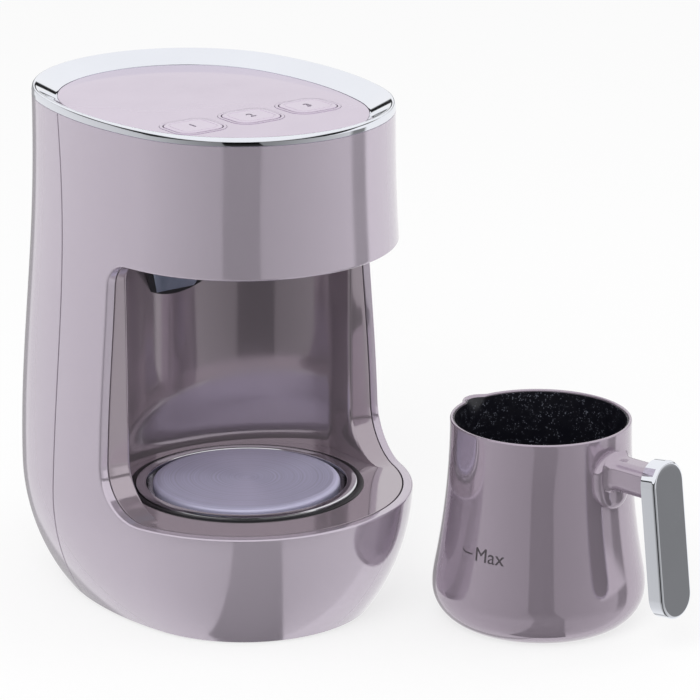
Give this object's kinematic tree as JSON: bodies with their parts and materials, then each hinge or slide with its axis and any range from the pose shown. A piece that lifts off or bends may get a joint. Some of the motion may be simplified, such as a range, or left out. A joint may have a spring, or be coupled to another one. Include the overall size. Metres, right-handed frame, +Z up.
{
  "type": "electric turkish coffee maker",
  "caption": "Oval countertop coffee maker with a heating plate in an open bay, push buttons in a chrome-ringed top and a separate long-handled pot beside it.",
  "frame": {"origin": "on the table, under the middle of the machine's oval base", "axes": "+Z up, front of the machine (the open bay) towards -Y, +X to the right of someone who faces the bay; the pot stands in front of the machine's right side"},
  "size_m": [0.2295, 0.3075, 0.242],
  "materials": {
    "shell_gloss": "high gloss mauve",
    "liner_gloss": "high gloss taupe",
    "panel_gloss": "gloss lilac",
    "button_gloss": "gloss lilac",
    "chrome": "polished",
    "plate_aluminium": "circular brushed, polished edge",
    "steel": "satin",
    "screw_steel": "zinc plated",
    "seal_rubber": "matte black",
    "foot_rubber": "matte black",
    "black_plastic": "matte black",
    "sensor_glass": "smoked, glossy",
    "board": "solder mask green",
    "component": "matte black",
    "relay_blue": "matte blue",
    "core_steel": "laminated",
    "ceramic": "white ceramic",
    "fuse_brass": "plated ends",
    "lead_red": "silicone insulation",
    "ribbon": "flat cable",
    "light_lens": "clear lens",
    "pot_enamel": "gloss mauve enamel",
    "pot_nonstick": "speckled black non-stick",
    "grip_core": "matte dark grey"
  },
  "bodies": {
    "machine": {"front_housing": "shell_gloss", "rear_cover": "shell_gloss", "bay_liner": "liner_gloss", "top_ring": "chrome", "top_panel": "panel_gloss", "control_board": "board", "board_screws": "screw_steel", "button_lights": "light_lens", "buzzer": "component", "panel_ribbon": "ribbon", "sensor_frame": "black_plastic", "sensor_window": "sensor_glass", "sensor_board": "board", "heating_plate": "plate_aluminium", "plate_ring": "steel", "plate_seal": "seal_rubber", "heating_element": "steel", "heat_shield": "steel", "plate_bracket": "steel", "bracket_screws": "screw_steel", "thermostat": "ceramic", "thermal_fuse": "fuse_brass", "base_plate": "black_plastic", "foot_ring": "foot_rubber", "base_screws": "screw_steel", "power_board": "board", "power_screws": "screw_steel", "relay": "relay_blue", "transformer": "core_steel", "mains_fuse": "fuse_brass", "terminal_block": "ceramic", "cord_gland": "black_plastic", "heater_leads": "lead_red", "button_bezel_1": "panel_gloss", "tact_switch_1": "component", "button_bezel_2": "panel_gloss", "tact_switch_2": "component", "button_bezel_3": "panel_gloss", "tact_switch_3": "component"},
    "button_1": {"button_cap_1": "button_gloss", "switch_key_1": "component"},
    "button_2": {"button_cap_2": "button_gloss", "switch_key_2": "component"},
    "button_3": {"button_cap_3": "button_gloss", "switch_key_3": "component"},
    "pot": {"pot_body": "pot_enamel", "pot_lining": "pot_nonstick", "handle_arm": "pot_enamel", "grip_shell": "chrome", "grip_core": "grip_core", "handle_bolt": "screw_steel"}
  },
  "joints": [
    {"name": "pot_lift", "type": "slide", "parent": "machine", "child": "pot", "axis": [0, 0, 1], "range_m": [0, 0.12]},
    {"name": "button_press_1", "type": "slide", "parent": "machine", "child": "button_1", "axis": [0, 0, -1], "range_m": [0, 0.001], "stiffness_N_per_m": 800, "springref_m": -0.001},
    {"name": "button_press_2", "type": "slide", "parent": "machine", "child": "button_2", "axis": [0, 0, -1], "range_m": [0, 0.001], "stiffness_N_per_m": 800, "springref_m": -0.001},
    {"name": "button_press_3", "type": "slide", "parent": "machine", "child": "button_3", "axis": [0, 0, -1], "range_m": [0, 0.001], "stiffness_N_per_m": 800, "springref_m": -0.001}
  ]
}
